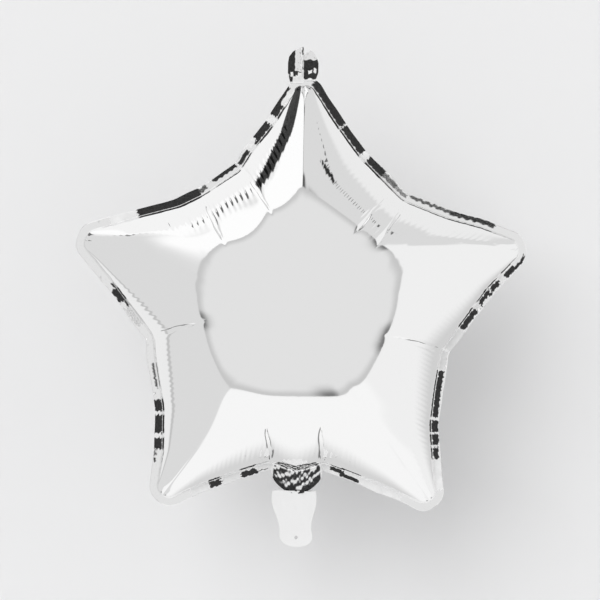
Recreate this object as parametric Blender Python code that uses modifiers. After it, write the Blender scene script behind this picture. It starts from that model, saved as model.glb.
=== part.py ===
"""A star-shaped foil balloon, blown up, upright in the XZ plane with its front towards -Y.

Two foil sheets of one star outline are welded to each other round the rim. Gas dishes each sheet,
so it is a thin shell with a flat flange beyond the weld seam. A hanging tab stands on the top point,
and a filling tail hangs from the neck at the foot. Both are folds of the same film, on film hinges.
The origin is the middle of the star. Lengths are in metres.
"""

import math

import bmesh
import bpy
import numpy as np
from mathutils import Matrix

# Films: the real foil is about 0.04 mm thick, and every sheet here is thick enough to be a solid.
FILM = 0.001
VALVE_FILM = 0.0004
GAP = 0.0003

# The star's seam: (angle above the X axis in degrees, radius), right-hand half from the top round to the foot.
TOP_TIP = (90.0, 0.2255)
UPPER_NOTCH = (53.5, 0.1500)
SIDE_TIP = (17.5, 0.2245)
SIDE_NOTCH = (-13.0, 0.1435)
LOWER_TIP = (-54.0, 0.2215)
FOOT_NOTCH = (-90.0, 0.1490)
EDGE_SAG = 0.006
CELLS = 14

# The dish: a nearly flat cap in the middle, a sloping face beside it to each notch, and a rounded edge.
# The sides of the cap are clockwise from the upper right, each measured from the middle of the star.
HALF_DEPTH = 0.078
CAP_RADIUS = 0.600
CAP_SIDES = (0.107, 0.092, 0.080, 0.092, 0.107)
CAP_BLEND = 0.006
BLEND_REACH = 0.030
TIP_DEPTH = 0.003
EDGE_BULGE = 0.045
EDGE_REACH = 0.140
RIDGE_ANGLE = math.radians(36)
RIDGE_ROUNDING = 0.012
RIDGE_DROP = 0.6
RIDGE_SHARP = (0.42, 0.67)
TIP_BLUNTNESS = 30

# The flange: its width beyond the seam, the flat on the top point and the neck at the foot.
FLANGE_WIDTH = 0.0078
TIP_FAN_START = 0.90
TOP_FLAT_Z = 0.2320
NECK_HALF_WIDTH = 0.0200
NECK_SHOULDER = 0.0250
NECK_FOOT_Z = -0.1785

# The hanging tab: two films, folded along the top edge of the flange.
TAB_HALF_WIDTH = 0.0150
TAB_WAIST_HALF_WIDTH = 0.0125
TAB_WAIST_Z = 0.2420
TAB_SHOULDER_Z = 0.2560
TAB_TOP_Z = 0.2665

# The filling tail: two films with the valve film between them, from the neck's foot down.
TAIL_ROOT_HALF_WIDTH = 0.0225
TAIL_SHOULDER_Z = -0.1880
TAIL_WAIST_HALF_WIDTH = 0.0157
TAIL_WAIST_Z = -0.2105
TAIL_END_HALF_WIDTH = 0.0165
TAIL_END_Z = -0.2225
TAIL_FOOT_Z = -0.2335
VALVE_HALF_WIDTH = 0.0110
VALVE_TOP_Z = -0.1850
VALVE_FOOT_Z = -0.2300
INLET_Z = -0.2250
INLET_RADIUS = 0.0018

# Film hinges: the root edge is rounded about the hinge line, so that it turns clear of the flange.
ROOT_ROUNDING = 0.00095
ROOT_SEGMENTS = 3
CURVE_STEPS = 5
TAB_HALF_STACK = FILM + GAP / 2
TAIL_HALF_STACK = FILM + GAP + VALVE_FILM / 2
TAB_HINGE_Z = TOP_FLAT_Z + GAP + TAB_HALF_STACK
TAIL_HINGE_Z = NECK_FOOT_Z - GAP - TAIL_HALF_STACK

WELD_DISTANCE = 0.00001


def new_collection(name):
    collection = bpy.data.collections.new(name)
    bpy.context.scene.collection.children.link(collection)
    return collection


def film_material(name, color, metallic, roughness, alpha=1.0):
    material = bpy.data.materials.new(name)
    material.use_nodes = True
    shader = material.node_tree.nodes["Principled BSDF"]
    shader.inputs["Base Color"].default_value = (*color, 1.0)
    shader.inputs["Metallic"].default_value = metallic
    shader.inputs["Roughness"].default_value = roughness
    shader.inputs["Alpha"].default_value = alpha
    return material


def star_corners():
    """The ten seam corners clockwise from the top tip: tips at even places, notches at odd ones."""
    right = [TOP_TIP, UPPER_NOTCH, SIDE_TIP, SIDE_NOTCH, LOWER_TIP, FOOT_NOTCH]
    left = [(180.0 - angle, radius) for angle, radius in reversed(right[1:-1])]
    angles, radii = np.array(right + left).T
    angles = np.radians(angles)
    return np.stack([radii * np.cos(angles), radii * np.sin(angles)], axis=1)


def sag_direction(notch, tip):
    """Unit vector across the edge from notch to tip, towards the inside of the arm."""
    along = (tip - notch) / np.linalg.norm(tip - notch)
    across = np.array([-along[1], along[0]])
    return across if across @ notch < 0 else -across


def grid_lines():
    """Cell boundaries from 0 at the middle to 1 at the seam: sines, closer together near the seam.

    Two more lines cross the seam where the neck begins, measured along the edge beside the foot notch.
    """
    edge = np.linalg.norm(star_corners()[4] - star_corners()[5])
    sines = np.sin(np.linspace(0, math.pi / 2, CELLS + 1))
    return np.sort(np.append(sines, [NECK_HALF_WIDTH / edge, NECK_SHOULDER / edge]))


def kite_point(a, b, notch_a, notch_b, tip):
    """Point (x, z) of one kite, middle to notch_a along a and middle to notch_b along b.

    A bilinear patch of the four corners, plus the sag of the two seam edges.
    """
    flat = a * notch_a + b * notch_b + a * b * (tip - notch_a - notch_b)
    sag_a = a * 4 * b * (1 - b) * EDGE_SAG * sag_direction(notch_a, tip)
    sag_b = b * 4 * a * (1 - a) * EDGE_SAG * sag_direction(notch_b, tip)
    return flat + sag_a + sag_b


def face_axes():
    """Unit direction of each face, clockwise from the upper right: halfway between its two tips."""
    tips = star_corners()[::2]
    tips = tips / np.linalg.norm(tips, axis=1)[:, None]
    middles = tips + np.roll(tips, -1, axis=0)
    return middles / np.linalg.norm(middles, axis=1)[:, None]


def cap_depth(s, t):
    """Depth of the cap, a shallow round dish, at s along a face's middle line and t across it."""
    return HALF_DEPTH - (s * s + t * t) / (2 * CAP_RADIUS)


def face_slope(face):
    """Slope of a face: from its side of the cap down to TIP_DEPTH at its two arm tips."""
    side = CAP_SIDES[face]
    tip_s = TOP_TIP[1] * math.cos(RIDGE_ANGLE)
    tip_t = TOP_TIP[1] * math.sin(RIDGE_ANGLE)
    return (cap_depth(side, tip_t) - TIP_DEPTH) / (tip_s - side)


def face_depth(face, s, t):
    """Depth of a face, straight along s and curved along t as the cap is."""
    side = CAP_SIDES[face]
    return cap_depth(side, t) - face_slope(face) * (s - side)


def smooth_step(value, low, high):
    share = min(max((value - low) / (high - low), 0.0), 1.0)
    return share * share * (3 - 2 * share)


def dish_depth(a, b, flat, face, beside):
    """Depth of the dish at one point of a kite, in the face that the point is on.

    The face slopes down outwards and is rounded to the seam like a quarter ellipse. It meets the face
    beside it along the ridge, where a and b are the same. The cap and the face meet in a smooth minimum,
    and the ridge is rounded beside the cap and sharp out on the arm.
    """
    near, far = min(a, b), max(a, b)
    share = (far - near) / (1 - near) if near < 1 else 0.0
    width = (1 - near) * EDGE_REACH
    inward = (1 - far) * EDGE_REACH
    out = face_axes()[face]
    s = flat @ out
    t = abs(flat @ np.array([out[1], -out[0]]))
    reach = min(t / (TOP_TIP[1] * math.sin(RIDGE_ANGLE)), 1.0)
    to_ridge = smooth_step(near, 0.0, max(far, WELD_DISTANCE))
    plane = face_depth(face, s, t)
    plane += 0.5 * (face_depth(beside, s, t) - plane) * to_ridge
    bulge = min(EDGE_BULGE, width / 2)
    rise = math.sqrt(1 - max(1 - inward / bulge, 0.0) ** 2) if bulge > 0 else 0.0
    roof = max(plane, width / 4) * rise * (1 - reach ** TIP_BLUNTNESS)
    off = max(s * math.sin(RIDGE_ANGLE) - t * math.cos(RIDGE_ANGLE), 0.0)
    bend = RIDGE_ROUNDING * (1 - smooth_step(reach, *RIDGE_SHARP))
    roof -= RIDGE_DROP * math.sin(RIDGE_ANGLE) * (math.hypot(off, bend) - off) * (1 - share ** 2)
    cap = cap_depth(s, t)
    blend = CAP_BLEND * min(inward / BLEND_REACH, 3 * far, 1.0)
    return max(0.5 * (roof + cap) - 0.5 * math.hypot(roof - cap, blend), 0.0)


def flange_edge(seam, outward):
    """Outer edge of the flange beyond one seam point, with the flat top point and the neck."""
    x, z = seam + FLANGE_WIDTH * outward
    if z < 0 and abs(seam[0]) < NECK_SHOULDER - GAP:
        return np.array([seam[0], NECK_FOOT_Z])
    return np.array([x, min(z, TOP_FLAT_Z)])


def seam_ring(lines):
    """Seam points clockwise from the top tip, each with its unit direction out of the star.

    Out of the star is square to the edge, and fans out from TIP_FAN_START on to the tip's own radius.
    """
    corners = star_corners()
    points = []
    for edge in range(10):
        tip, notch = (corners[edge], corners[(edge + 1) % 10])
        steps = lines[::-1]
        if edge % 2:
            tip, notch = notch, tip
            steps = lines
        for b in steps[:-1]:
            point = kite_point(1.0, b, notch, np.zeros(2), tip)
            fan = max(0.0, (b - TIP_FAN_START) / (1 - TIP_FAN_START))
            outward = (1 - fan) * -sag_direction(notch, tip) + fan * tip / np.linalg.norm(tip)
            if b == 0:
                outward = notch
            points.append((point, outward / np.linalg.norm(outward)))
    return points


def foil_panel(name, side, material, collection):
    """One foil sheet, side -1 for the front and 1 for the back: five dished kites and the flange."""
    lines = grid_lines()
    cells = len(lines) - 1
    corners = star_corners()
    shape = bmesh.new()
    for kite in range(5):
        tip = 2 * kite
        grid = bmesh.ops.create_grid(shape, x_segments=cells, y_segments=cells, size=cells / 2)
        for vert in grid["verts"]:
            a = lines[round(vert.co.x + cells / 2)]
            b = lines[round(vert.co.y + cells / 2)]
            flat = kite_point(a, b, corners[tip - 1], corners[tip + 1], corners[tip])
            face, beside = (kite - 1, kite) if a > b else (kite, kite - 1)
            depth = dish_depth(a, b, flat, face, beside)
            vert.co = (flat[0], side * (GAP / 2 + depth), flat[1])
    ring = seam_ring(lines)
    grid = bmesh.ops.create_grid(shape, x_segments=len(ring), y_segments=1, size=len(ring) / 2)
    for vert in grid["verts"]:
        seam, outward = ring[round(vert.co.x + len(ring) / 2) % len(ring)]
        x, z = flange_edge(seam, outward) if vert.co.y > 0 else seam
        vert.co = (x, side * GAP / 2, z)
    bmesh.ops.remove_doubles(shape, verts=shape.verts, dist=WELD_DISTANCE)
    bmesh.ops.recalc_face_normals(shape, faces=shape.faces)
    shape.faces.ensure_lookup_table()
    middle = min(shape.faces, key=lambda face: face.calc_center_median().xz.length)
    if middle.normal.y * side < 0:
        bmesh.ops.reverse_faces(shape, faces=shape.faces)
    mesh = bpy.data.meshes.new(name)
    shape.to_mesh(mesh)
    shape.free()
    mesh.materials.append(material)
    panel = bpy.data.objects.new(name, mesh)
    collection.objects.link(panel)
    shell = panel.modifiers.new("film", "SOLIDIFY")
    shell.thickness = FILM
    shell.offset = 1.0
    shell.use_even_offset = True
    mesh.shade_smooth()
    return panel


def tail_outline():
    """Right-hand half of the tail, root to foot, as (x, z, handle)."""
    root_z = TAIL_HINGE_Z + FILM
    return [
        (TAIL_ROOT_HALF_WIDTH, root_z, "VECTOR"),
        (TAIL_ROOT_HALF_WIDTH, TAIL_SHOULDER_Z, "AUTO"),
        (TAIL_WAIST_HALF_WIDTH, TAIL_WAIST_Z, "AUTO"),
        (TAIL_END_HALF_WIDTH, TAIL_END_Z, "AUTO"),
        (0.0, TAIL_FOOT_Z, "AUTO"),
    ]


def tab_outline():
    """Right-hand half of the hanging tab, root to top."""
    root_z = TAB_HINGE_Z - FILM
    return [
        (TAB_WAIST_HALF_WIDTH, root_z, "VECTOR"),
        (TAB_WAIST_HALF_WIDTH, TAB_WAIST_Z, "AUTO"),
        (TAB_HALF_WIDTH, TAB_SHOULDER_Z, "AUTO"),
        (0.0, TAB_TOP_Z, "AUTO"),
    ]


def valve_outline():
    """Right-hand half of the valve film, top to foot."""
    return [(VALVE_HALF_WIDTH, VALVE_TOP_Z, "VECTOR"), (VALVE_HALF_WIDTH, VALVE_FOOT_Z, "VECTOR")]


def inlet_outline():
    """Right-hand half of the round filling hole, as quarter arcs."""
    return [
        (0.0, INLET_Z + INLET_RADIUS, "AUTO"),
        (INLET_RADIUS, INLET_Z, "AUTO"),
        (0.0, INLET_Z - INLET_RADIUS, "AUTO"),
    ]


def closed_spline(curve, half):
    """Closed Bezier spline through the half outline and its mirror image."""
    mirrored = [(-x, z, handle) for x, z, handle in reversed(half) if x > 0]
    outline = half + mirrored
    spline = curve.splines.new("BEZIER")
    spline.bezier_points.add(len(outline) - 1)
    spline.use_cyclic_u = True
    for point, (x, z, handle) in zip(spline.bezier_points, outline):
        point.co = (x, z, 0)
        point.handle_left_type = handle
        point.handle_right_type = handle


def film_sheet(name, outlines, thickness, near_y, material, hinge, root_side=0):
    """Flat film from y = near_y on, cut to the outlines. Its outer root edge is rounded.

    root_side is the side of the stack that the film's outer face is on, or 0 for a film with no rounding.
    """
    curve = bpy.data.curves.new(name, "CURVE")
    curve.dimensions = "2D"
    curve.fill_mode = "BOTH"
    curve.extrude = thickness / 2
    curve.resolution_u = CURVE_STEPS
    for half in outlines:
        closed_spline(curve, half)
    drawn = bpy.data.objects.new(name + "_outline", curve)
    bpy.context.scene.collection.objects.link(drawn)
    bpy.context.view_layer.update()
    evaluated = drawn.evaluated_get(bpy.context.evaluated_depsgraph_get())
    mesh = bpy.data.meshes.new_from_object(evaluated)
    bpy.data.objects.remove(drawn)
    mesh.name = name
    mesh.transform(Matrix.Rotation(math.pi / 2, 4, "X"))
    mesh.transform(Matrix.Translation((0, near_y + thickness / 2, 0)))
    shape = bmesh.new()
    shape.from_mesh(mesh)
    bmesh.ops.remove_doubles(shape, verts=shape.verts, dist=WELD_DISTANCE)
    if root_side:
        round_root(shape, near_y if root_side < 0 else near_y + thickness, outlines[0][0][1])
    bmesh.ops.recalc_face_normals(shape, faces=shape.faces)
    shape.to_mesh(mesh)
    shape.free()
    mesh.transform(Matrix.Translation(-hinge.location))
    mesh.materials.clear()
    mesh.materials.append(material)
    film = bpy.data.objects.new(name, mesh)
    hinge.users_collection[0].objects.link(film)
    film.parent = hinge
    return film


def round_root(shape, outer_y, root_z):
    """Round the edge where a film's outer face meets its root, so that it turns inside a round."""
    def on_root(vert):
        return abs(vert.co.y - outer_y) < WELD_DISTANCE and abs(vert.co.z - root_z) < WELD_DISTANCE
    edges = [edge for edge in shape.edges if all(on_root(vert) for vert in edge.verts)]
    bmesh.ops.bevel(shape, geom=edges, offset=ROOT_ROUNDING, segments=ROOT_SEGMENTS, profile=0.5,
                    affect="EDGES")


def film_hinge(name, z, collection):
    hinge = bpy.data.objects.new(name, None)
    hinge.empty_display_size = 0.02
    hinge.location = (0, 0, z)
    collection.objects.link(hinge)
    return hinge


def hang_tab(foil, collection):
    hinge = film_hinge("tab_fold", TAB_HINGE_Z, collection)
    film_sheet("tab_front_film", [tab_outline()], FILM, -TAB_HALF_STACK, foil, hinge, -1)
    film_sheet("tab_back_film", [tab_outline()], FILM, GAP / 2, foil, hinge, 1)


def filling_tail(foil, clear_film, collection):
    hinge = film_hinge("tail_fold", TAIL_HINGE_Z, collection)
    front = [tail_outline(), inlet_outline()]
    film_sheet("tail_front_film", front, FILM, -TAIL_HALF_STACK, foil, hinge, -1)
    film_sheet("valve_film", [valve_outline()], VALVE_FILM, -VALVE_FILM / 2, clear_film, hinge)
    film_sheet("tail_back_film", [tail_outline()], FILM, TAIL_HALF_STACK - FILM, foil, hinge, 1)


def build():
    for old in list(bpy.data.objects):
        bpy.data.objects.remove(old)
    balloon = new_collection("star_foil_balloon")
    mirror_foil = film_material("mirror_foil", (0.90, 0.90, 0.91), 1.0, 0.09)
    fold_foil = film_material("fold_foil", (0.86, 0.86, 0.87), 1.0, 0.16)
    clear_film = film_material("clear_film", (0.93, 0.94, 0.95), 0.0, 0.25, alpha=0.5)
    foil_panel("front_panel", -1, mirror_foil, balloon)
    foil_panel("back_panel", 1, mirror_foil, balloon)
    hang_tab(fold_foil, balloon)
    filling_tail(fold_foil, clear_film, balloon)


build()
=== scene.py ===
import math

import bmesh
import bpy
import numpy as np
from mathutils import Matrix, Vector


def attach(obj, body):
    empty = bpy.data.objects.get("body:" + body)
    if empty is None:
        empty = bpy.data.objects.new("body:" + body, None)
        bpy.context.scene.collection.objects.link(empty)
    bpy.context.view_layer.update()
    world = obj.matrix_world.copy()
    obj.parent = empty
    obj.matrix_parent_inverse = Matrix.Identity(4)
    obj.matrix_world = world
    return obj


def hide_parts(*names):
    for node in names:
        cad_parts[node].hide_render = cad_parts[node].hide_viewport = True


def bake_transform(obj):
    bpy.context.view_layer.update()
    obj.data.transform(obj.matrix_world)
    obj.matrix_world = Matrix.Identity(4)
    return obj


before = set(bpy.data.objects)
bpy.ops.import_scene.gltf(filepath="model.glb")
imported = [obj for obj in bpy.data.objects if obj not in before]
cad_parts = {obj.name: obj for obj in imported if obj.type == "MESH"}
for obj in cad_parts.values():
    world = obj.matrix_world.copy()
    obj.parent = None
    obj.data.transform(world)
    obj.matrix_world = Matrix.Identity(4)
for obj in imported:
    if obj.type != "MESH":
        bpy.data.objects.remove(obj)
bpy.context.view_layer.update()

# %% [markdown]
# # A star foil balloon
# The balloon is two sheets of mirror film, welded to each other round a star and blown up.
# The frame that was just loaded holds plain solids of it, and every shape below is laid over them.

MM = 0.001                   # a millimetre in the frame's metres

# %% [markdown]
# ## Camera
# The photograph looks squarely at the front, from far enough away that the star is hardly distorted.
# A long lens does that. The balloon hangs a little crooked, and the camera's roll stands for it, so that
# the star itself stays upright and true to its own axes.

# %% Camera
LENS, SENSOR = 100.0, 36.0
FRAME_WIDTH = 0.600          # what the photograph's width spans at the weld seam
AIM = (-0.0004, 0.0134)       # the point of the seam plane in the middle of the picture
ROLL = math.radians(-1.2)
DISTANCE = FRAME_WIDTH * LENS / SENSOR
camera_data = bpy.data.cameras.new("camera")
camera_data.lens = LENS
camera_data.sensor_width = SENSOR
camera = bpy.data.objects.new("camera", camera_data)
camera.location = (AIM[0], -DISTANCE, AIM[1])
camera.rotation_mode = "XYZ"
camera.rotation_euler = (math.pi / 2, ROLL, 0)
bpy.context.scene.collection.objects.link(camera)
bpy.context.scene.camera = camera
bpy.context.scene.view_settings.view_transform = "Standard"
print("camera stands", round(DISTANCE, 3), "m in front of the seam")

# %% [markdown]
# ## Shader maths as plain expressions
# A mirror has no look of its own, so most of the work is in what it reflects, and that is a formula.
# Wiring dozens of Math nodes by hand is slow to read. This small class wraps one socket, and every
# operator on it adds the matching node, so a formula is written as it would be on paper.

# %% Sockets that can be added and multiplied
class Socket:
    """One output of a shader node. Operators on it add Math nodes to the same tree."""

    def __init__(self, graph, output):
        self.graph = graph
        self.output = output

    def math(self, operation, *others):
        return self.graph.node("ShaderNodeMath", {"operation": operation}, *([self] + list(others)))

    def __add__(self, other):
        return self.math("ADD", other)

    def __sub__(self, other):
        return self.math("SUBTRACT", other)

    def __mul__(self, other):
        return self.math("MULTIPLY", other)

    def __rsub__(self, other):
        return self.graph.node("ShaderNodeMath", {"operation": "SUBTRACT"}, other, self)

    def __neg__(self):
        return self.math("MULTIPLY", -1.0)

    __radd__ = __add__
    __rmul__ = __mul__

    def step(self, low, high):
        """Goes smoothly from 0 at low to 1 at high, or the other way round when high is the smaller."""
        settings = {"interpolation_type": "SMOOTHSTEP"}
        up = low < high
        return self.graph.node("ShaderNodeMapRange", settings, self, min(low, high), max(low, high),
                               0.0 if up else 1.0, 1.0 if up else 0.0)


class Graph:
    """The node tree of a material or world."""

    def __init__(self, tree):
        self.tree = tree
        tree.nodes.clear()

    def node(self, kind, settings=None, *values, out=0, **named):
        """Adds a node: its settings first, then values or links for its sockets, by order or by name."""
        made = self.tree.nodes.new(kind)
        for key, value in (settings or {}).items():
            setattr(made, key, value)
        for key, value in list(enumerate(values)) + list(named.items()):
            socket = made.inputs[key]
            if isinstance(value, Socket):
                self.tree.links.new(value.output, socket)
            elif value is not None:
                socket.default_value = value
        return Socket(self, made.outputs[out]) if len(made.outputs) else None


def mix(share, first, second):
    """A blend of two tones, by the share of the second."""
    return first * (1.0 - share) + second * share


# %% [markdown]
# ## The studio
# What the camera sees behind the balloon is a pale wall with the balloon's soft shadow on it. What the
# film mirrors is the room in front: a broad grey card round the camera, then white and grey panels set
# round it like the petals of a flower, with narrow dark gaps beside some of them, and the pale wall
# behind. The world is that room, as tones by direction: theta is how far a direction is turned away from
# the camera, and turn is where it lies round the view.

# %% The room that the film mirrors
world = bpy.data.worlds.new("studio")
bpy.context.scene.world = world
world.use_nodes = True
room = Graph(world.node_tree)
direction = room.node("ShaderNodeTexCoord", None, out=0)
east = room.node("ShaderNodeSeparateXYZ", None, direction, out=0)
depth = Socket(room, east.output.node.outputs[1])
up = Socket(room, east.output.node.outputs[2])
to_degrees = 180 / math.pi
theta = (-depth).math("ARCCOSINE") * to_degrees          # 0 towards the camera, 90 sideways, 180 behind
turn = up.math("ARCTAN2", east) * to_degrees             # round the view, 0 to the right and 90 up


def sector(low, high, soft_low, soft_high, lean_low=0.0, lean_high=0.0):
    """1 from low to high in the room's turn round the view, with a soft edge at each end. Either edge can
    be moved by a lean, in degrees, that itself goes by theta."""
    middle, half = (low + high) / 2, (high - low) / 2
    off = (turn - middle).math("WRAP", 180.0, -180.0)
    rise = (off - lean_low).step(-half - soft_low / 2, -half + soft_low / 2)
    return rise * (off - lean_high).step(half + soft_high / 2, half - soft_high / 2)


lean_right = (90.0 - theta) * 0.22
lean_left = (74.0 - theta).math("MAXIMUM", 0.0).math("MINIMUM", 16.0) * 1.5 + theta.step(90.0, 96.0) * 20.0


# where each panel lies round the view, its tone, the tone behind it, and the angle where it ends
PANELS = [
    (sector(37, 90, 4, 2, lean_low=lean_right), 0.745, 0.89, (99, 107)),
    (sector(-44, 37, 12, 4, lean_high=lean_right), 0.93, 0.67, (92, 124)),
    (sector(-126, -44, 4, 12), 0.99, 0.70, (86, 118)),
    (sector(131, 234, 26, 4, lean_low=lean_left), 0.75, 0.885, (110, 113)),
    (sector(90, 131, 2, 26, lean_high=lean_left), 1.06, 0.97, (104, 107)),
]
CARD = 0.81                  # tone of the card round the camera
CARD_EDGE = 42.0             # theta where the card ends
BACKDROP = 0.82              # tone that the camera itself sees of the room

blots = sector(-83, -70, 10, 10) + sector(-25, -14, 7, 7) + sector(187, 194, 6, 4) + sector(40, 50, 5, 5)
rim = theta.step(31.0, CARD_EDGE - 1.0) * 0.26 + theta.step(24.0, 40.0) * blots * 0.5
card = CARD - rim * CARD
petals = 0.0
for inside, panel, wall_tone, (start, end) in PANELS:
    petals = mix(theta.step(start, end), panel, wall_tone) * inside + petals
gap_strong = theta.step(86.0, 88.0) * theta.step(104.0, 102.0) * sector(134, 150, 4, 6)
gap_faint = theta.step(106.0, 107.5) * theta.step(111.5, 110.0) * sector(150, 234, 3, 4)
gap_sliver = theta.step(67.5, 69.0) * theta.step(78.0, 76.5) * sector(55, 61, 3, 2)
gap_ridge = theta.step(54.0, 58.0) * sector(87.5, 91, 1.5, 1.5)
gap_corner = theta.step(40.0, 43.0) * theta.step(58.0, 52.0) * sector(76, 90, 8, 1.5)
gap_foot = theta.step(84.0, 88.0) * (sector(-62, -48, 3, 3) + sector(-133, -119, 3, 3))
GAPS = [(gap_strong, 0.85), (gap_faint, 0.25), (gap_sliver, 0.8), (gap_ridge, 0.75), (gap_corner, 0.85),
        (gap_foot, 0.7)]
for gap, share in GAPS:
    petals = petals * (1.0 - gap * share)
tone = mix(theta.step(CARD_EDGE - 0.6, CARD_EDGE + 0.6), card, petals)
seen = room.node("ShaderNodeLightPath", None, out=0)
tone = mix(seen, tone, BACKDROP)
room.node("ShaderNodeOutputWorld", None, room.node("ShaderNodeBackground", None, tone, 1.0))
print("room:", len(PANELS), "panels,", len(GAPS), "dark gaps")

# %% [markdown]
# ## Wall, floor and key light
# The photograph's backdrop is a plain pale wall with the balloon's soft shadow on it. Two planes and one
# sun lamp give that. A sun's angle sets how soft its shadows are, so a wide one is used. Reflections leave
# the planes out, because the world already holds the wall, and from behind the planes can be seen
# through, so that the back of the balloon can be looked at too.

# %% Wall, floor and key light
WALL_Y = 0.20
FLOOR_Z = -0.75
STAGE_REACH = 3.0            # how far wall and floor go from the middle of the star, in metres
STAGE_SHADE = 0.79


def plane(name, corners, shade):
    """A flat stage object that is plain from the front and clear from behind."""
    mesh = bpy.data.meshes.new(name)
    mesh.from_pydata(corners, [], [tuple(range(len(corners)))])
    obj = bpy.data.objects.new(name, mesh)
    bpy.context.scene.collection.objects.link(obj)
    material = bpy.data.materials.new(name)
    material.use_nodes = True
    graph = Graph(material.node_tree)
    plain = graph.node("ShaderNodeBsdfDiffuse", None, (shade, shade, shade * 1.004, 1))
    clear = graph.node("ShaderNodeBsdfTransparent", None)
    back = graph.node("ShaderNodeNewGeometry", None, out=6)
    graph.node("ShaderNodeOutputMaterial", None, graph.node("ShaderNodeMixShader", None, back, plain, clear))
    mesh.materials.append(material)
    obj.visible_glossy = False


far = STAGE_REACH
plane("wall", [(-far, WALL_Y, -far), (far, WALL_Y, -far), (far, WALL_Y, far), (-far, WALL_Y, far)],
      STAGE_SHADE)
plane("floor", [(-far, -far, FLOOR_Z), (far, -far, FLOOR_Z), (far, WALL_Y, FLOOR_Z), (-far, WALL_Y, FLOOR_Z)],
      STAGE_SHADE)
KEY_WAY = Vector((0.50, 1.0, -0.46))     # the way the key light shines
KEY_ANGLE = 42.0
KEY_ENERGY = 1.12
key = bpy.data.lights.new("key", "SUN")
key.angle = math.radians(KEY_ANGLE)
key.energy = KEY_ENERGY
key_light = bpy.data.objects.new("key", key)
key_light.rotation_mode = "QUATERNION"
key_light.rotation_quaternion = KEY_WAY.to_track_quat("-Z", "Y")
key_light.visible_glossy = False
bpy.context.scene.collection.objects.link(key_light)
print("wall", WALL_Y, "m behind the seam, key light", KEY_ANGLE, "degrees wide")

# %% [markdown]
# ## The star's outline
# A star balloon has five arms. The film between two arms is one face, from the middle of the star out
# to the notch, and its middle line points at 54, -18, -90, -162 or 126 degrees. Every face is worked out
# in its own two lengths: t along the line between its two arm tips, and s outwards from the middle. The
# weld seam is then a short list of points in each face, smoothed, with small differences from arm to arm.

# %% The weld seam
FACES = (54, -18, -90, -162, 126)
SHOULDER = (127.0, 188.3)    # where each arm's blunt tip begins, the same in every face
TIP_RADIUS = 228.0
SEAM = {
    54: [(-87, 173.5), (-48, 161.5), (13, 152.5), (60, 165.5), (92, 178.5)],
    -18: [(-84, 168.5), (-11, 146.0), (28, 152.5), (62, 160.0), (98, 175.0)],
    -90: [(-93, 173.2), (-53, 158.0), (-26, 148.5), (-13, 154.0), (0, 157.5), (13, 154.5), (27, 148.8),
          (58, 159.0), (95, 173.0)],
    -162: [(-91, 171.5), (-50, 158.5), (0, 152.0), (20, 147.5), (40, 154.5), (80, 169.0)],
    126: [(-79, 172.2), (-38, 157.0), (-13, 153.0), (33, 152.3), (50, 160.0), (85, 170.5)],
}
SEAM_STEP = 0.5
SEAM_SOFTNESS = 3.2


def face_axes(angle):
    """The directions of t and s in the star's plane, as two unit vectors."""
    a = math.radians(angle)
    return np.array([math.sin(a), -math.cos(a)]), np.array([math.cos(a), math.sin(a)])


def seam_line():
    """The whole seam in millimetres: the corner points joined by straight lines, cut into equal steps,
    and each step averaged with its neighbours under a bell curve, which rounds every corner."""
    corners = []
    for angle in FACES:
        along, out = face_axes(angle)
        rows = [(-SHOULDER[0], SHOULDER[1])] + SEAM[angle] + [SHOULDER]
        corners.extend(t * along + s * out for t, s in rows)
        tip = math.radians(angle - 36)
        corners.append(TIP_RADIUS * np.array([math.cos(tip), math.sin(tip)]))
    ring = np.array(corners + corners[:1])
    reach = np.concatenate([[0], np.cumsum(np.linalg.norm(np.diff(ring, axis=0), axis=1))])
    count = int(reach[-1] / SEAM_STEP)
    at = np.linspace(0, reach[-1], count, endpoint=False)
    line = np.stack([np.interp(at, reach, ring[:, i]) for i in (0, 1)], 1)
    span = int(4 * SEAM_SOFTNESS / SEAM_STEP)
    bell = np.exp(-0.5 * (np.arange(-span, span + 1) * SEAM_STEP / SEAM_SOFTNESS) ** 2)
    bell /= bell.sum()
    wide = np.concatenate([line[-span:], line, line[:span]])
    return np.stack([np.convolve(wide[:, i], bell, mode="valid") for i in (0, 1)], 1)


seam = seam_line()
seam_length = float(np.linalg.norm(np.diff(seam, axis=0), axis=1).sum())
print("seam:", len(seam), "points,", round(seam_length), "mm round")

# %% [markdown]
# ## The seam, read from one face
# The seam is one closed line, but a face only meets its own stretch of it. In the face's own lengths that
# stretch is a curve of s over t, which can be looked up for every column of a grid at once.

# %% The seam of one face, as s over t
def face_seam(angle):
    """Reads the seam in one face's t and s, from arm ridge to arm ridge."""
    along, out = face_axes(angle)
    t, s = seam @ along, seam @ out
    inside = (s > 100) & (np.abs(np.degrees(np.arctan2(t, s))) < 40)
    order = np.argsort(t[inside])
    t, s = t[inside][order], s[inside][order]
    lean = np.degrees(np.arctan2(t, s))
    low, high = np.interp([-36, 36], lean, t)
    return t, s, low, high


# %% [markdown]
# ## The dished film
# Gas pushes the middle of the star out to a shallow round cap. From there the film slopes to the seam
# like a tent roof: one face between each two arms, with a ridge along each arm where two faces meet, and
# the last stretch rounded down to the weld. A mirror shows slopes rather than heights. So each face is a
# formula, a plane that is blended into the cap and rounded at its edge, and not a sculpted mesh, which
# would show every lump of its modelling.

# %% Height of the dished film
CAP_HEIGHT, CAP_RADIUS = 79.1, 600.0
CAP_SIDE = {54: 105.0, -18: 84.0, -90: 76.5, -162: 94.5, 126: 103.0}    # where each face leaves the cap
# where a face sags beside the cap: middle t, half width, depth
LOBES = {126: [(5, 27, 4.5), (51, 17, 3.5)]}
LOBE_FADE = (104.0, 34.0)    # a sag fades out from the first s on, over the second length
TIP_HEIGHT = 3.0             # what would be left of a face's plane at its two arm tips
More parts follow.
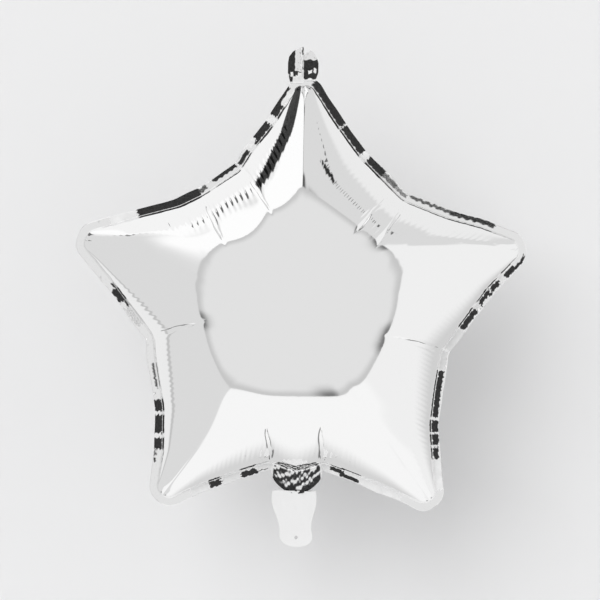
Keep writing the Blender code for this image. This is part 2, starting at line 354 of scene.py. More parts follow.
# how far in from the seam a face rounds over: a share of its width, and the most in millimetres
EDGE_BULGE = (0.5, 45.0)
CAP_BLEND = 6.0              # how softly the faces run into the cap
RIDGE_TAN = math.tan(math.radians(36))
RIDGE_SIN = math.sin(math.radians(36))
RIDGE_COS = math.cos(math.radians(36))
# how far the ridge of each arm is rounded, beside the cap and out on the arm
RIDGE_ROUND = {90: (7.0, 0.8), 18: (26.0, 16.0), -54: (16.0, 8.0), -126: (6.0, 1.5), 162: (26.0, 16.0)}
RIDGE_DROP = 0.6
RIDGE_FADE = (0.42, 0.25)    # where the second rounding takes over, as shares of the way out to the tip
DEEPEST = 150.0
# where a ridge is pushed out of the arm's middle: place, push and reach, all as (x, z)
PUSHES = [((126, 42), (0, 16), (50, 28)), ((190, 60), (0, 8), (26, 16)), ((-146, 50), (0, 14), (48, 24)),
          ((-64, -82), (-8, 11), (27, 28))]
TIP_BLUNTNESS = 60


def wrapped(angle):
    """The same angle, between -180 and 180 degrees."""
    return (angle + 180) % 360 - 180


def cap_height(s, t):
    """The cap: a shallow round dish over the whole middle."""
    return CAP_HEIGHT - (s ** 2 + t ** 2) / (2 * CAP_RADIUS)


def face_slope(angle):
    """Slope of a face: from its side of the cap down to TIP_HEIGHT at its two arm tips."""
    side = CAP_SIDE[angle]
    return (cap_height(side, TIP_RADIUS * RIDGE_SIN) - TIP_HEIGHT) / (TIP_RADIUS * RIDGE_COS - side)


def face_plane(angle, s, t):
    """Height of a face, curved a little along t as the cap is, and straight along s."""
    side = CAP_SIDE[angle]
    return cap_height(side, t) - face_slope(angle) * (s - side)


def rounded(inward, width):
    """Root curve from 0 at the seam to 1 further in: sqrt(1 - (1 - inward/bulge)^2)."""
    bulge = np.clip(EDGE_BULGE[0] * width, 0.5, EDGE_BULGE[1])
    return np.sqrt(1 - np.clip(1 - inward / bulge, 0, 1) ** 2)


def smooth(x):
    """Goes smoothly from 0 to 1 as x does: 3x^2 - 2x^3."""
    x = np.clip(x, 0, 1)
    return x * x * (3 - 2 * x)


def face_height(angle, t, share, edge_s, tip_t):
    """Height of one face: a sloping plane, rounded down to the seam, blended into the flat cap in the
    middle by a smooth minimum. It meets its neighbours at the same height on each ridge, which is rounded
    where it leaves the cap and sharp on the arms. share runs from 0 at the ridge to 1 at the seam along
    each line of constant t. The third result says how deep inside the star a point is."""
    ridge_s = np.abs(t) / RIDGE_TAN
    s = ridge_s + (edge_s - ridge_s) * share
    reach = np.clip(np.abs(t / tip_t), 0, 1)
    width = edge_s - ridge_s
    own = face_plane(angle, s, t)
    for middle, half, sag in LOBES.get(angle, []):
        lobe = np.clip(1 - ((t - middle) / half) ** 2, 0, 1) * (1 - smooth((s - LOBE_FADE[0]) / LOBE_FADE[1]))
        own = own - sag * lobe * smooth((s - ridge_s) / 14)
    before, after = wrapped(angle + 72), wrapped(angle - 72)
    beside = np.where(t < 0, face_plane(before, s, t), face_plane(after, s, t))
    to_ridge = smooth(ridge_s / np.maximum(s, 1e-6))
    roof = own + 0.5 * (beside - own) * to_ridge
    roof = np.maximum(roof, 0) * rounded(edge_s - s, width) * (1 - reach ** TIP_BLUNTNESS)
    left, right = RIDGE_ROUND[wrapped(angle + 36)], RIDGE_ROUND[wrapped(angle - 36)]
    near, far = np.where(t < 0, left[0], right[0]), np.where(t < 0, left[1], right[1])
    bend = near + (far - near) * smooth((reach - RIDGE_FADE[0]) / RIDGE_FADE[1])
    bend = np.minimum(bend, 40 * (1 - reach))
    off = (s - ridge_s) * RIDGE_SIN
    roof -= RIDGE_DROP * RIDGE_SIN * (np.hypot(off, bend) - off) * (1 - share ** 2) * to_ridge
    cap = cap_height(s, t)
    deep = DEEPEST * (1 - share) * (1 - reach)
    blend = CAP_BLEND * np.clip(deep / 30, 0, 1) * np.clip(np.hypot(s, t) / 50, 0, 1)
    height = 0.5 * (roof + cap) - 0.5 * np.hypot(roof - cap, blend)
    return s, np.maximum(height, 0), deep


def pushed(points, deep):
    """Moves points (x, y, z) in the star's plane by the pushes, each a bell that fades out at the seam."""
    shift = np.zeros_like(points)
    x, z = points[..., 0] / MM, points[..., 2] / MM
    for (middle_x, middle_z), (push_x, push_z), (reach_x, reach_z) in PUSHES:
        bell = np.exp(-((x - middle_x) / reach_x) ** 2 - ((z - middle_z) / reach_z) ** 2)
        shift[..., 0] += push_x * MM * bell
        shift[..., 2] += push_z * MM * bell
    return points + shift * smooth(deep / 28)[..., None]


# %% [markdown]
# ## Creases and pleats
# The film can't stretch, so where the seam turns inwards at a notch it folds: two long creases run from
# the notch in to the middle, and rows of small pleats stand square to the seam between them and up the
# arms. Each is a small move of the surface along its own normal. They fade out at the seam itself.

# %% Creases and pleats of one face
# creases by face: (t at the seam, t at the inner end, length inwards, depth), in millimetres
CREASES = {
    54: [(-1, -5, 62, 1.8), (16, 21, 60, 1.8)],
    -18: [(-12, -7, 61, 3.0)],
    -90: [(-25, -22, 46, 2.4), (25, 31, 44, 2.2)],
    -162: [(21, 20, 56, 3.0)],
    126: [(-12, -22, 60, 2.4), (36, 33, 60, 2.4)],
}
CREASE_WIDTH = 1.7
# rows of pleats by face: heights as (t, height), spacing, distance in from the seam, spread
PLEATS = {
    54: [([(-110, 0.05), (-50, 0.18), (0, 0.24), (60, 0.22), (110, 0.05)], 5.6, 17, 9),
         ([(-80, 0), (-60, 0.2), (0, 0.2), (30, 0)], 5.2, 40, 7)],
    -18: [([(-90, 0.06), (-30, 0.2), (20, 0.24), (70, 0.22), (105, 0.05)], 4.8, 12, 9)],
    -90: [([(-95, 0.05), (-50, 0.2), (-26, 0.2), (-16, 0.08), (16, 0.08), (26, 0.2), (50, 0.2),
            (95, 0.05)], 4.8, 14, 9)],
    -162: [([(-100, 0.06), (-30, 0.16), (60, 0.16), (105, 0.06)], 5.2, 11, 8)],
    126: [([(-95, 0.05), (-72, 0.2), (-55, 0.5), (32, 0.55), (40, 0.24), (80, 0.2),
            (110, 0.05)], 5.6, 21, 9)],
}
PLEAT_SLANT = 0.16


def noise(x, seed, scale):
    """Smooth random numbers between -1 and 1 along x: six sine waves of random length and phase."""
    rng = np.random.default_rng(1000 + seed)
    total = np.zeros_like(x)
    for _ in range(6):
        total += np.sin(x * 2 * np.pi / (scale * rng.uniform(0.6, 1.8)) + rng.uniform(0, 2 * np.pi))
    return total / 3.5


def folds(angle, t, inward, seed, creases):
    """Small moves of the film in millimetres. inward is the distance from the seam."""
    beat = t + PLEAT_SLANT * inward + 0.8 * noise(t, seed, 40)
    move = np.zeros_like(inward)
    for heights, spacing, middle, spread in PLEATS[angle]:
        size = np.interp(t, *np.array(heights).T) * (0.8 + 0.25 * noise(t, seed + 1, 19))
        move += size * np.exp(-((inward - middle) / spread) ** 2) * np.sin(2 * np.pi * beat / spacing)
    for seam_t, inner_t, length, deep in creases:
        run = np.clip(inward / length, 0, 1)
        line = seam_t + (inner_t - seam_t) * run + 0.5 * noise(inward, seed + 4, 22)
        strength = deep * 4 * run * (1 - run)
        move -= strength * np.exp(-np.abs(t - line) / CREASE_WIDTH)
    move += 0.35 * noise(t, seed + 2, 90) * noise(inward, seed + 3, 110) * np.clip(inward / 30, 0, 1)
    return move * np.clip(inward / 5, 0, 1)


# %% [markdown]
# ## The flange and the neck
# Beyond the seam the two films lie flat on each other, about 8 mm wide, and ripple as they please. At
# the foot the flange widens into the crumpled neck that the filling tail hangs from.

# %% Width and ripple of the flange
FLANGE = 7.8
NECK_HALF, NECK_TOP, NECK_DROP = 25.0, 154.1, 26.0
FILM = 0.12                  # half the thickness that the flange's two films get


def flange_width(angle, t, edge_s):
    """The flange's width at t: 7.8 mm with a slow waver, and an oval of neck in the bottom face."""
    width = FLANGE + 0.7 * noise(t, angle + 400, 60)
    if angle == -90:
        foot = NECK_TOP + NECK_DROP * np.sqrt(np.clip(1 - (t / NECK_HALF) ** 2, 0, 1))
        width = np.maximum(width, foot - edge_s)
    return width


# Painted reflections of the flange, as flakes by face: from t, to t, from and to beyond the seam in
# millimetres, and tone. Tone -1 is a painted dark reflection of the room's dark side, 1 a painted white
# reflection, 0 plain mirror.
PAINTED_REFLECTION_FLAKES = {
    54: [(-128, -81, 0.8, 9, -1), (-79, -48, 0.8, 9, -1), (-47, -41, 0, 9, 1), (-40, -18, 0.8, 8, -0.9),
         (-18, 0, 1.5, 7, -0.55), (0, 15, 2.0, 6, -0.5), (18, 60, 4, 7.5, -0.6), (60, 104, 3, 8, -0.7)],
    -18: [(-128, -116, 4, 7, -0.9), (-116, -103, 1.5, 7, -0.9), (-103, -98, 0, 8, 0.8), (-97, -86, 1, 6, -1),
          (-84, -68, 0.5, 7, -1), (-80, -70, 5, 8, 1), (-69, -63, 0, 4, 0.8), (-62, -39, 0.5, 6, -1),
          (-38, -16, 0, 8, 1), (-12, 8, 0, 6, 1), (8, 55, 0.6, 6, -1), (57, 69, 0.4, 7, -1),
          (71, 81, 0.4, 7, -1), (83, 94, 0.8, 6, -1), (95, 122, 0, 8, 0.9)],
    -90: [(106, 140, 0, 9, 0.15), (-140, -105, 0, 9, 0.15), (76, 88, 0.5, 7, -1), (41, 57, 1.5, 8, -1),
          (30, 42, 5, 6.5, -0.8), (-48, -34, 0.5, 4.5, -1), (-64, -44, 3, 7, -1)],
    -162: [(58, 84, 0, 2, -1), (64, 78, 0, 6.5, -1), (36, 58, 0, 7, -0.25), (-30, -5, 1.5, 4.0, -0.6),
           (-54, -42, 0.5, 8, -1), (-57, -54, 1, 8, 0.8), (-75, -57, 0, 9, -1), (-79, -75, 1, 9, 0.9),
           (-90, -79, 0.5, 9, -1), (-97, -92, 5, 8, -0.6), (-102, -99, 5, 7, -0.8)],
    126: [(104, 122, 4.5, 10, -1), (103, 118, 0.5, 4.5, 0.9), (92, 105, 0.5, 9, -1), (84, 92, 1, 9, 0.9),
          (60, 84, 0.5, 9, -1), (50, 64, 3, 9, 0.9), (36, 52, 1, 5.5, -0.8), (4, 33, 4, 8.5, -1),
          (-14, -4, 2, 7, -0.6), (-78, -14, 0, 9, -1), (-104, -78, 0, 8, 1)],
}
# painted reflection tone of each face's flange between the flakes; the bottom face's flange is painted white
FLANGE_PAINTED_REFLECTION = {54: 0.0, -18: 0.15, -90: 0.8, -162: -0.05, 126: 0.1}


def flange_painted_reflection(angle, t, out, edge_s):
    """Painted reflection tone of the flange: its plain tone, with each painted flake laid over it as a box
    with ragged edges. The neck is painted with crumpled dark and white reflections all over, painted darkest
    round its rim."""
    tone = np.full(t.shape, FLANGE_PAINTED_REFLECTION[angle])
    rough_t = t + 1.3 * noise(out * 3.0 + t, angle + 600, 7) + 0.6 * noise(t, angle + 601, 3)
    rough_out = out + 0.7 * noise(t, angle + 602, 5)
    for start, end, low, high, value in PAINTED_REFLECTION_FLAKES[angle]:
        along = np.minimum(rough_t - start, end - rough_t) / 1.2
        across = np.minimum(rough_out - low, high - rough_out) / 0.8
        inside = np.clip(np.minimum(along, across) + 0.5, 0, 1)
        tone = tone + (value - tone) * inside
    if angle == -90:
        crumple = 0.9 * noise(t + 0.9 * out, 611, 7) + 0.9 * noise(1.3 * out - 0.6 * t, 612, 9) - 0.6
        drop = (out + edge_s - NECK_TOP + 2) / NECK_DROP
        rim = np.clip((np.hypot(t / NECK_HALF, drop) - 0.86) / 0.1, 0, 1)
        neck = smooth((24.5 - np.abs(t)) / 2.5)
        tone = tone + (np.clip(crumple, -1, 0.7) * (1 - rim) - 0.8 * rim - tone) * neck
    return tone


def flange_ripple(angle, t, out):
    """How far the flange stands forward, from nothing at the seam to about 1 mm at its edge."""
    wave = noise(t, angle + 500, 16) * 0.8 + noise(t + 0.7 * out, angle + 501, 6) * 0.25
    if angle == -90:
        neck = np.exp(-(t / 22.0) ** 4)
        crumple = 1.2 * noise(t * 1.3 + out, angle + 502, 9) + 0.8 * noise(out - t, angle + 503, 7)
        wave = wave + neck * crumple
    return wave * np.clip(out / 6.0, 0, 1)


# %% [markdown]
# ## From faces to a sheet
# Every face becomes a grid of points. The fine grid only covers the outer part, where the pleats are,
# and meets a grid three times coarser inside. A second, coarse skin a little way behind closes each
# sheet to a thin solid, as every real film has two sides.

# %% Grids of one face
COARSE = 112                 # columns across a face in its quiet middle
FINE = 3 * COARSE            # columns across a face near the seam
QUIET_ROWS, PLEAT_ROWS, FLANGE_ROWS = 14, 24, 8
MEET = 0.42                  # where the two grids meet, as a share of the way from ridge to seam


def columns(count, low, high):
    """Column places in t: closer together round the notch than out on the arms."""
    u = np.linspace(-1, 1, count + 1)
    place = 0.80 * u + 0.20 * u ** 3
    return np.where(place < 0, -place * low, place * high)


def shares(rows, start, end, power):
    """Row places from start to end of the way from ridge to seam, closing up towards the seam."""
    v = np.linspace(0, 1, rows + 1)
    return 1 - ((1 - start) * (1 - v) ** power + (1 - end) * (1 - (1 - v) ** power))


def face_points(angle, t, share, side, seed, creases):
    """Points of the dished film in metres, on a grid of rows (share) and columns (t)."""
    seam_t, seam_s, low, high = face_seam(angle)
    edge_s = np.interp(t, seam_t, seam_s)
    tip_t = np.where(t < 0, -low, high)
    grid_t = np.broadcast_to(t, (len(share), len(t)))
    grid_share = np.broadcast_to(share[:, None], grid_t.shape)
    s, height, deep = face_height(angle, grid_t, grid_share, edge_s, tip_t)
    flat = np.stack([grid_t, s, height], -1)
    down = np.gradient(flat, axis=0)
    over = np.gradient(flat, axis=1)
    normal = np.cross(over, down)
    size = np.linalg.norm(normal, axis=-1, keepdims=True)
    normal = np.where(size > 1e-9, normal / np.maximum(size, 1e-9), 0)
    normal *= np.sign(normal[..., 2:] + 1e-12)
    move = folds(angle, grid_t, edge_s - s, seed, creases)
    fade = np.clip((1 - np.abs(grid_t / tip_t)) / 0.06, 0, 1) * np.clip(grid_share / 0.12, 0, 1)
    flat = flat + normal * (move * fade)[..., None]
    return pushed(to_space(angle, flat, side), deep)


def to_space(angle, flat, side):
    """Turns (t, s, height) in millimetres into (x, y, z) in metres."""
    along, out = face_axes(angle)
    plan = flat[..., :1] * along + flat[..., 1:2] * out
    return np.stack([plan[..., 0], side * flat[..., 2], plan[..., 1]], -1) * MM


def flange_points(angle, t, side, inner):
    """Points of the flange, on rows outwards from the seam along its own normal."""
    seam_t, seam_s = face_seam(angle)[:2]
    edge_s = np.interp(t, seam_t, seam_s)
    slope = np.gradient(seam_s, seam_t)
    lean = np.interp(t, seam_t, np.convolve(np.pad(slope, 4, mode="edge"), np.ones(9) / 9, mode="valid"))
    lean[0], lean[-1] = 1 / math.tan(math.radians(54)), -1 / math.tan(math.radians(54))
    size = np.sqrt(1 + lean ** 2)
    across_t, across_s = -lean / size, 1 / size
    width = flange_width(angle, t, edge_s)
    ends = np.clip((1 - np.abs(np.linspace(-1, 1, len(t)))) / 0.05, 0, 1)
    width = FLANGE + (width - FLANGE) * ends
    v = np.linspace(0, 1, FLANGE_ROWS + 1)[:, None]
    neck = np.exp(-(t / 26.0) ** 8) if angle == -90 else np.zeros_like(t)
    across_t = across_t * (1 - neck)
    across_s = across_s * (1 - neck) + neck
    out = v * width
    rise = flange_ripple(angle, np.broadcast_to(t, out.shape), out) * ends
    film = FILM * (0.1 if inner else 1.0)
    points = np.stack([t + out * across_t, edge_s + out * across_s, side * -rise + film], -1)
    return to_space(angle, points, side), flange_painted_reflection(angle, np.broadcast_to(t, out.shape), out, edge_s)


# Painted dark reflection bands beside the top arm's ridge by face, as (height z, middle x, half width), in
# millimetres.
PAINTED_REFLECTION_BANDS = {
    126: [(122, -44, 2.4), (127, -41, 4.4), (139, -34.3, 5.2), (158, -26, 6.0), (178, -17.4, 5.6),
          (194, -13.5, 5.2), (209, -10.2, 4.4), (222, -7, 3)],
    54: [(124, 33, 0), (128, 30.4, 1.4), (134, 26.6, 2.2), (142, 21.6, 1.9), (149, 17.8, 1.0), (151, 17, 0)],
}


def painted_band_reflection(angle, points):
    """Tone of the painted dark reflection band, from each point's x and z; its outer edge is toothed by the
    pleats.
    """
    z_list, x_list, half_list = np.array(PAINTED_REFLECTION_BANDS[angle]).T
    x, z = points[..., 0] / MM, points[..., 2] / MM
    off = x - np.interp(z, z_list, x_list)
    half = np.interp(z, z_list, half_list)
    teeth = np.where(off < 0, 0.9 * noise(z + 0.5 * x, 620, 4) - 0.3, 0.0) * smooth((190 - z) / 30)
    dark = np.clip((half + teeth - np.abs(off)) / 0.9 + 0.5, 0, 1)
    return -dark * np.clip((z - z_list[0] + 1) / 2, 0, 1) * np.clip(half / 0.6, 0, 1)


# %% [markdown]
# ## Joining the grids
# A grid's own faces are quads. Where the fine grid meets the coarse one, a six-sided face spans one coarse
# step and three fine ones, so that no crack is left. Points that lie on each other are then made one, and
# the faces are turned outwards, which leaves each film a single closed skin.

# %% Joining grids into one closed sheet
INNER_GAP = 1.2              # how far behind the outer skin the inner one lies, in millimetres
WELD = 1.5e-6                # points closer than this become one, in metres


def quads(index):
    """Faces of a grid of point numbers."""
    a, b, c, d = index[:-1, :-1], index[:-1, 1:], index[1:, 1:], index[1:, :-1]
    return np.stack([a, b, c, d], -1).reshape(-1, 4).tolist()


def stitch(coarse, fine):
    """Faces between a coarse row and the fine row beside it, three fine steps to each coarse one."""
    rows = np.stack([coarse[:-1], coarse[1:], fine[3::3], fine[2::3], fine[1::3], fine[:-1:3]], -1)
    return rows.tolist()


def foil_sheet(name, side, seed, material):
    """One welded film: dished outer skin, flange, and an inner skin a little behind that closes it."""
    points, tones, faces, start = [], [], [], 0

    def add(block, tone=None):
        nonlocal start
        points.append(block.reshape(-1, 3))
        tones.append(np.zeros(block.shape[:2]).ravel() if tone is None else tone.ravel())
        index = np.arange(start, start + block.shape[0] * block.shape[1]).reshape(block.shape[:2])
        start += index.size
        return index

    for angle in FACES:
        low, high = face_seam(angle)[2:]
        fine_t, coarse_t = columns(FINE, low, high), columns(FINE, low, high)[::3]
        rows = CREASES[angle]
        inner = face_points(angle, coarse_t, shares(QUIET_ROWS, 0, MEET, 1.0), side, seed + angle, rows)
        outer = face_points(angle, fine_t, shares(PLEAT_ROWS, MEET, 1, 1.35)[1:], side, seed + angle, rows)
        # the front sheet gets the painted dark reflection bands; both sheets' flanges get painted reflection
        # flakes
        has_painted_band = angle in PAINTED_REFLECTION_BANDS and side < 0
        quiet = add(inner, painted_band_reflection(angle, inner) if has_painted_band else None)
        pleat = add(outer, painted_band_reflection(angle, outer) if has_painted_band else None)
        rim, rim_painted_reflection = flange_points(angle, fine_t, side, False)
        flange = add(rim[1:], rim_painted_reflection[1:])
        under = add(*flange_points(angle, fine_t, side, True))
        hidden = face_points(angle, coarse_t, shares(QUIET_ROWS, 0, 1, 1.2), side, seed + angle, [])
        least = 0.1 * FILM * MM
        hidden[..., 1] -= side * INNER_GAP * MM
        hidden[..., 1] = np.where(side * hidden[..., 1] < least, side * least, hidden[..., 1])
        hidden = add(hidden)
        skin = np.vstack([pleat, flange])
        made = quads(quiet) + stitch(quiet[-1], pleat[0]) + quads(skin)
        made += quads(np.stack([flange[-1], under[-1]])) + quads(under[::-1])
        made += quads(hidden[::-1])
        made += stitch(hidden[-1][::-1], under[0][::-1])
        faces += made
    return closed_piece(name, np.concatenate(points), faces, np.concatenate(tones), material)


def closed_piece(name, points, faces, tones, material):
    """Makes the object. Points at the same place become one, and every point keeps its tone and its place as
    made, which the material reads, so that its pattern is fixed to the film."""
    mesh = bpy.data.meshes.new(name)
    mesh.from_pydata(points.tolist(), [], faces)
    # the tone attribute carries the painted reflections that the foil material turns into colour
    mesh.attributes.new("tone", "FLOAT", "POINT").data.foreach_set("value", tones.astype(np.float32))
    place = mesh.attributes.new("place", "FLOAT_VECTOR", "POINT")
    place.data.foreach_set("vector", points.astype(np.float32).ravel())
    obj = bpy.data.objects.new(name, mesh)
    bpy.context.scene.collection.objects.link(obj)
    shell = bmesh.new()
    shell.from_mesh(mesh)
    bmesh.ops.remove_doubles(shell, verts=shell.verts, dist=WELD)
    bmesh.ops.recalc_face_normals(shell, faces=shell.faces)
    open_edges = sum(1 for e in shell.edges if len(e.link_faces) != 2)
    shell.to_mesh(mesh)
    shell.free()
    mesh.shade_smooth()
    mesh.materials.append(material)
    triangles = sum(len(p.vertices) - 2 for p in mesh.polygons)
    print(name, triangles, "triangles,", open_edges, "open edges")
    return obj


# %% [markdown]
# ## The foil's finish
# Metallised film is a mirror with a faint haze. Where the real flange is crumpled it throws back the dark of
# the camera's side of the room in hard-edged flakes; here those reflections, dark and white, are painted into
# the foil's colour.

# %% Foil material
def foil_material(name, rough, mirror=0.93, hole=None):
    """Mirror film with painted reflections: ragged dark and white flakes painted into its colour where the
    tone says so, and a round hole if asked.
    """
    material = bpy.data.materials.new(name)
    material.use_nodes = True
    graph = Graph(material.node_tree)
    place = graph.node("ShaderNodeAttribute", {"attribute_name": "place"}, out=1)
    tone = graph.node("ShaderNodeAttribute", {"attribute_name": "tone"}, out=2)
    grain = graph.node("ShaderNodeTexNoise", None, Vector=place, Scale=900.0, Detail=2.0)
    bump = graph.node("ShaderNodeBump", None, Strength=0.03, Distance=0.0002, Height=grain)
    flecks = graph.node("ShaderNodeTexNoise", None, Vector=place, Scale=700.0, Detail=3.0) - 0.5
    haze = graph.node("ShaderNodeTexNoise", None, Vector=place, Scale=35.0, Detail=3.0) * 0.03 + rough
    # painted reflections: tone below 0 paints the mirror's colour dark, tone above 0.25 paints it matte white
    ragged = tone + flecks * 0.5
    dark = ragged.step(-0.05, -0.75)
    white = ragged.step(0.25, 0.55)
    bright = mirror * (1.0 - dark * 0.95) + flecks * dark * 0.10
    colour = bright * (1.0 - white) + white * 0.82
    surface = graph.node("ShaderNodeBsdfPrincipled", None, Normal=bump,
                         Metallic=1.0 - white * 0.85, Roughness=haze + white * 0.30)
    graph.tree.links.new(colour.output, surface.output.node.inputs["Base Color"])
    if hole:
        (x, z), radius = hole
        east = graph.node("ShaderNodeSeparateXYZ", None, place, out=0)
        high = Socket(graph, east.output.node.outputs[2])
        away = ((east - x) * (east - x) + (high - z) * (high - z)).math("SQRT")
        film = away.step(radius - 0.0002, radius + 0.0002) * 0.6 + 0.4
        graph.tree.links.new(film.output, surface.output.node.inputs["Alpha"])
    graph.node("ShaderNodeOutputMaterial", None, surface)
    return material


mirror_foil = foil_material("mirror_foil", 0.045)

# %% [markdown]
# ## The two envelope sheets
# Front and back are cut to one pattern and blown up by the same gas, so one function makes both, with other
# random pleats on the back. Each rides on the envelope and takes the place of its plain solid.

# %% The two sheets
front_foil = foil_sheet("front_foil", -1, 10, mirror_foil)
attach(front_foil, "envelope")
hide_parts("front_panel")
back_foil = foil_sheet("back_foil", 1, 700, mirror_foil)
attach(back_foil, "envelope")
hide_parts("back_panel")

# %% [markdown]
# ## Loose films: the hanging tab and the filling tail
# The tab and the tail are each two films of the same foil. Every film is a thin closed sheet on a grid:
# a function gives each point's place and tone, and the same grid a film's thickness behind closes it.

# %% A film on a grid
LOOSE_FILM = 0.10            # half the thickness of a loose film, in millimetres


def loose_film(name, points, tones, material):
    """Closes a grid of points (rows, columns, xyz in millimetres) to a film by its copy behind and a rim."""
    thick = np.array([0.0, LOOSE_FILM, 0.0])
    count = tones.size
    front = np.arange(count).reshape(tones.shape)
    back = front + count
    faces = quads(front) + quads(back[::-1])
    ring = np.concatenate([front[0], front[1:, -1], front[-1, -2::-1], front[-2::-1, 0]])
    faces += np.stack([ring[1:], ring[:-1], ring[:-1] + count, ring[1:] + count], -1).tolist()
    both = np.concatenate([(points - thick).reshape(-1, 3), (points + thick).reshape(-1, 3)]) * MM
    return closed_piece(name, both, faces, np.concatenate([tones.ravel(), tones.ravel()]), material)


def painted_reflection_boxes(tone, x, z, boxes, seed):
    """Lays boxes of painted reflection tone over a film: each from x, to x, from z, to z and tone, with
    ragged edges.
    """
    rough_x = x + 0.5 * noise(z + 0.4 * x, seed, 5)
    rough_z = z + 0.5 * noise(x - 0.4 * z, seed + 1, 5)
    for left, right, low, high, value in boxes:
        across = np.minimum(rough_x - left, right - rough_x)
        inside = np.minimum(across, np.minimum(rough_z - low, high - rough_z))
        tone = tone + (value - tone) * np.clip(inside / 0.7 + 0.5, 0, 1)
    return tone


# %% [markdown]
# ## The hanging tab
# The tab stands on the top arm's point. Its film is folded down the middle, so that it shows two lobes:
# a tall one on the left and a lower, crumpled one on the right. The left lobe's dark, a reflection of the
# dark camera side, is painted into the front film's colour, with smaller painted dark and white reflections.

# %% Hanging tab
TAB_TOP = [(-17.3, 250), (-16.4, 256), (-12.6, 261.2), (-8, 264.2), (-3.6, 266.0), (-2.0, 266.2),
           (-1.3, 257.4), (1.2, 260.4), (4.4, 262.7), (8.2, 260.4), (11.4, 256), (13.2, 250)]
TAB_ROOT = 229.5             # height where the tab begins, behind the flange
TAB_MIDDLE = -2.0            # where its middle fold lies
TAB_NARROW = 0.17            # how much narrower its root is than its top, as a share
TAB_BULGE = 2.6              # how far each lobe bulges away from the fold
TAB_STACK = 0.75             # how far each film stands off the seam's plane
# painted reflection boxes: from x, to x, from z, to z, tone
TAB_PAINTED_REFLECTIONS = [(-20, -10.3, 239, 270, -1), (-12, -3.5, 237.5, 241.5, -0.9), (-16, -9.5, 231, 240, -0.8),
             (-14.5, -12, 236.5, 241, 0.5), (-7, -1.2, 231, 240.5, 1), (-12, -2.5, 226, 236, 1),
             (-3.4, -1.9, 258, 268, -0.7), (-1.5, 14, 234.5, 253.2, -0.9), (3, 7, 239.5, 243, 0.5),
             (8.5, 11, 240.5, 244.5, 0.5), (6.5, 11, 232, 234.5, 0.4)]


def tab_grid(side, seed):
    """The tab's film: x across, z from the root to the lobes' tops, and y bulging away from the fold."""
    across, top = np.array(TAB_TOP).T
    x_top = np.linspace(across[0], across[-1], 90)
    v = np.linspace(0, 1, 60)[:, None]
    narrow = 1 - TAB_NARROW * smooth((0.55 - v) / 0.55)
    x = TAB_MIDDLE + (x_top - TAB_MIDDLE) * narrow
    root = TAB_ROOT + 2.6 * smooth((x_top + 2.5) / 3)
    z = root + (np.interp(x_top, across, top) - root) * v
    lobe = np.where(x < TAB_MIDDLE, (x - TAB_MIDDLE) / -15.5, (x - TAB_MIDDLE) / 15.5)
    bulge = TAB_BULGE * np.sqrt(np.clip(lobe * (1.02 - lobe) * 4, 0, 1)) * smooth((z - 231) / 8)
    crumple = 0.7 * noise(x * 1.2 + z, seed, 7) + 0.5 * noise(z * 1.3 - x, seed + 1, 6)
    away = TAB_STACK + bulge + crumple * smooth((z - 232) / 4) * (0.35 + 0.65 * smooth((250 - z) / 10))
    # only the front film gets the painted reflections
    tone = painted_reflection_boxes(np.zeros(x.shape), x, z, TAB_PAINTED_REFLECTIONS, seed) if side < 0 else np.zeros(x.shape)
    return np.stack([x, side * np.maximum(away, TAB_STACK), z], -1), tone


fold_foil = foil_material("fold_foil", 0.09, mirror=0.90)
for name, node, side, seed in (("tab_front", "tab_front_film", -1, 40), ("tab_back", "tab_back_film", 1, 60)):
    grid, tone = tab_grid(side, seed)
    film = loose_film(name, grid, tone, fold_foil)
    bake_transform(film)
    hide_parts(node)

# %% [markdown]
# ## The filling tail
# The tail hangs behind the crumpled neck and stays flat, as nothing fills it. Its front film has the
# small hole that the gas goes in by, and a clear valve film lies between the two.

# %% Filling tail
# the tail's side: height z and half width there
TAIL_SIDE = [(-177.3, 22.0), (-184, 22.7), (-191, 22.2), (-197, 20.6), (-203, 18.4), (-209, 16.7),
             (-215, 15.9), (-220, 16.3), (-224.5, 16.6), (-228, 15.0), (-231, 11.4), (-232.8, 6.8),
             (-233.5, 0.6)]
TAIL_LEAN = (-2.2, 1.2)      # x of its middle at the root and at the foot
TAIL_STACK = 0.5             # how far each film stands off the seam's plane
HOLE = ((0.0006, -0.2240), 0.0017)       # the filling hole's (x, z) and radius, in metres


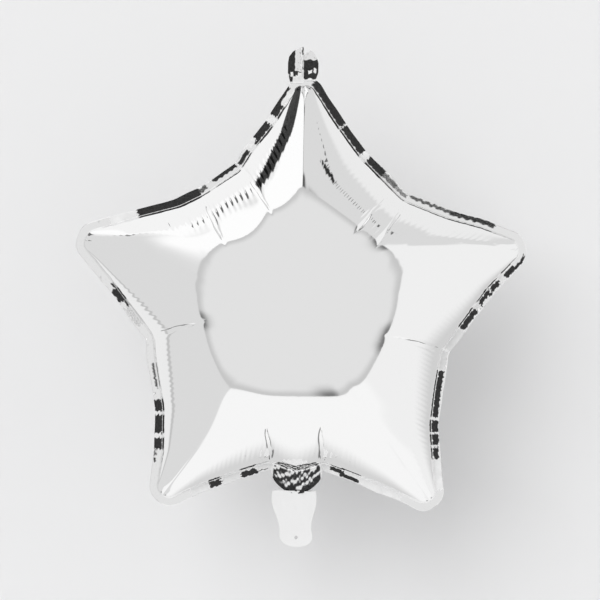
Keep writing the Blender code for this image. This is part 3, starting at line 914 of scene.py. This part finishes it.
def tail_grid(side, seed):
    """The tail's film: half width by height, the middle leaning a little, and shallow creases."""
    z_list, half_list = np.array(TAIL_SIDE).T
    v = np.linspace(0, 1, 90)[:, None]
    z = z_list[0] + (z_list[-1] - z_list[0]) * (1 - (1 - v) ** 1.4)
    half = np.interp(-z, -z_list, half_list)
    kernel = np.hanning(9) / np.hanning(9).sum()
    half[:, 0] = np.convolve(np.pad(half[:, 0], 4, mode="edge"), kernel, mode="valid")
    u = np.linspace(-1, 1, 61)[None, :]
    middle = TAIL_LEAN[0] + (TAIL_LEAN[1] - TAIL_LEAN[0]) * smooth(v)
    x = middle + half * u
    z = z + 0.5 * noise(x, seed + 3, 30) * (1 - smooth(v / 0.1))
    crease = 0.35 * noise(x + 0.5 * z, seed, 16) + 0.25 * noise(z - 0.3 * x, seed + 1, 24)
    away = TAIL_STACK + (0.5 + crease) * smooth(v / 0.08) + 0.8 * (1 - smooth(v / 0.06)) * (side > 0)
    # the front film's tone of 0.9 paints it matte white, a painted white reflection in place of mirror
    return np.stack([x, side * away, z], -1), np.full(x.shape, 0.9 if side < 0 else 0.0)


tail_foil = foil_material("tail_foil", 0.09, mirror=0.90, hole=HOLE)
for name, node, side, seed, finish in (("tail_front", "tail_front_film", -1, 80, tail_foil),
                                       ("tail_back", "tail_back_film", 1, 90, fold_foil)):
    grid, tone = tail_grid(side, seed)
    film = loose_film(name, grid, tone, finish)
    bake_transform(film)
    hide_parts(node)

# %% [markdown]
# ## The valve film
# The valve is a strip of clear film between the tail's two films, seen only through the small hole. It is
# flat, so its solid is kept as it is and only gets a finish: clear plastic with a faint cloud in it.

# %% Valve film
clear = bpy.data.materials.new("clear_valve")
clear.use_nodes = True
sheet = Graph(clear.node_tree)
spot = sheet.node("ShaderNodeTexCoord", None, out=3)
cloud = sheet.node("ShaderNodeTexNoise", None, Vector=spot, Scale=120.0, Detail=3.0)
film = sheet.node("ShaderNodeBsdfPrincipled", None, Roughness=cloud * 0.2 + 0.15, Alpha=cloud * 0.2 + 0.35)
film.output.node.inputs["Base Color"].default_value = (0.80, 0.82, 0.84, 1)
sheet.node("ShaderNodeOutputMaterial", None, film)
valve = bpy.data.objects["valve_film"]
for slot in valve.material_slots:
    slot.material = clear
